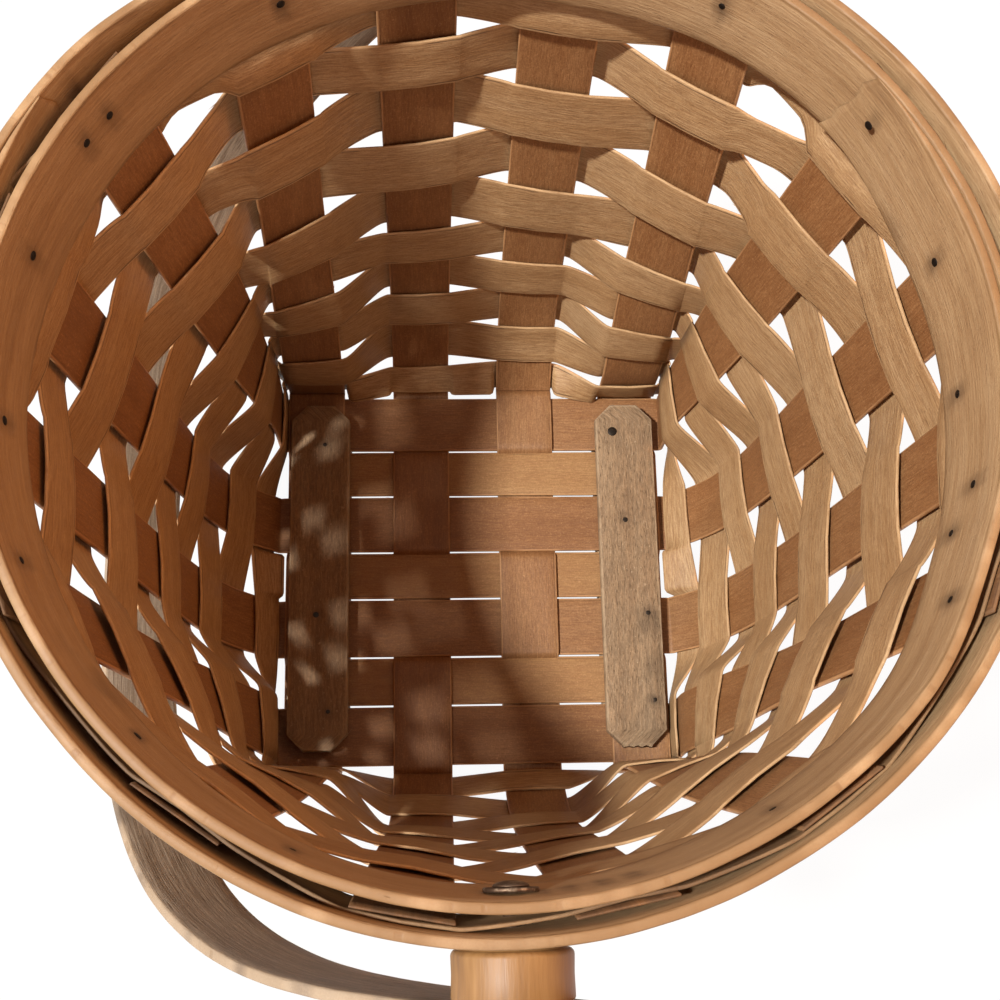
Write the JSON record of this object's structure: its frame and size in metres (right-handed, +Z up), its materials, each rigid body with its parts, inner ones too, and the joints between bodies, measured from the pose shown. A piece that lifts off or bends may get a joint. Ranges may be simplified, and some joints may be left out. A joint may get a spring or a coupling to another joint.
{
  "type": "woven splint basket",
  "caption": "Round-topped, square-bottomed wood-splint basket with bent rim hoops, wooden skids and a bent swing handle.",
  "frame": {"origin": "middle of the base, on the surface the skids stand on", "axes": "+X to the right across the skids, +Y away along the handle's pivot axis, +Z up"},
  "size_m": [0.2916, 0.3264, 0.2694],
  "materials": {
    "stake": "satin, dark reddish stain",
    "weaver": "satin, aged reddish brown",
    "hoop": "satin, aged brown",
    "runner": "weathered grey-brown",
    "skid": "worn brown",
    "handle": "worn grey-brown",
    "spacer": "satin, turned",
    "rivet": "dull, aged"
  },
  "bodies": {
    "basket": {"stake_lengthwise_1": "stake", "stake_lengthwise_2": "stake", "stake_lengthwise_3": "stake", "stake_lengthwise_4": "stake", "stake_crosswise_1": "stake", "stake_crosswise_2": "stake", "stake_crosswise_3": "stake", "stake_crosswise_4": "stake", "base_filler_1": "weaver", "base_filler_2": "weaver", "base_filler_3": "weaver", "inner_runner_left": "runner", "inner_runner_right": "runner", "base_skid_left": "skid", "base_skid_right": "skid", "weaver_row_01": "weaver", "weaver_row_02": "weaver", "weaver_row_03": "weaver", "weaver_row_04": "weaver", "weaver_row_05": "weaver", "weaver_row_06": "weaver", "weaver_row_07": "weaver", "weaver_row_08": "weaver", "weaver_row_09": "weaver", "weaver_row_10": "weaver", "weaver_row_11": "weaver", "inner_hoop": "hoop", "outer_hoop": "hoop", "handle_spacer_near": "spacer", "handle_spacer_far": "spacer", "handle_rivet_near": "rivet", "handle_rivet_far": "rivet", "rivet_burr_near": "rivet", "rivet_burr_far": "rivet"},
    "handle": {"handle": "handle"}
  },
  "joints": [
    {"name": "handle_swing", "type": "hinge", "parent": "basket", "child": "handle", "pos_m": [0, 0, 0.2445], "axis": [0, 1, 0], "range_deg": [0, 281.5]}
  ]
}
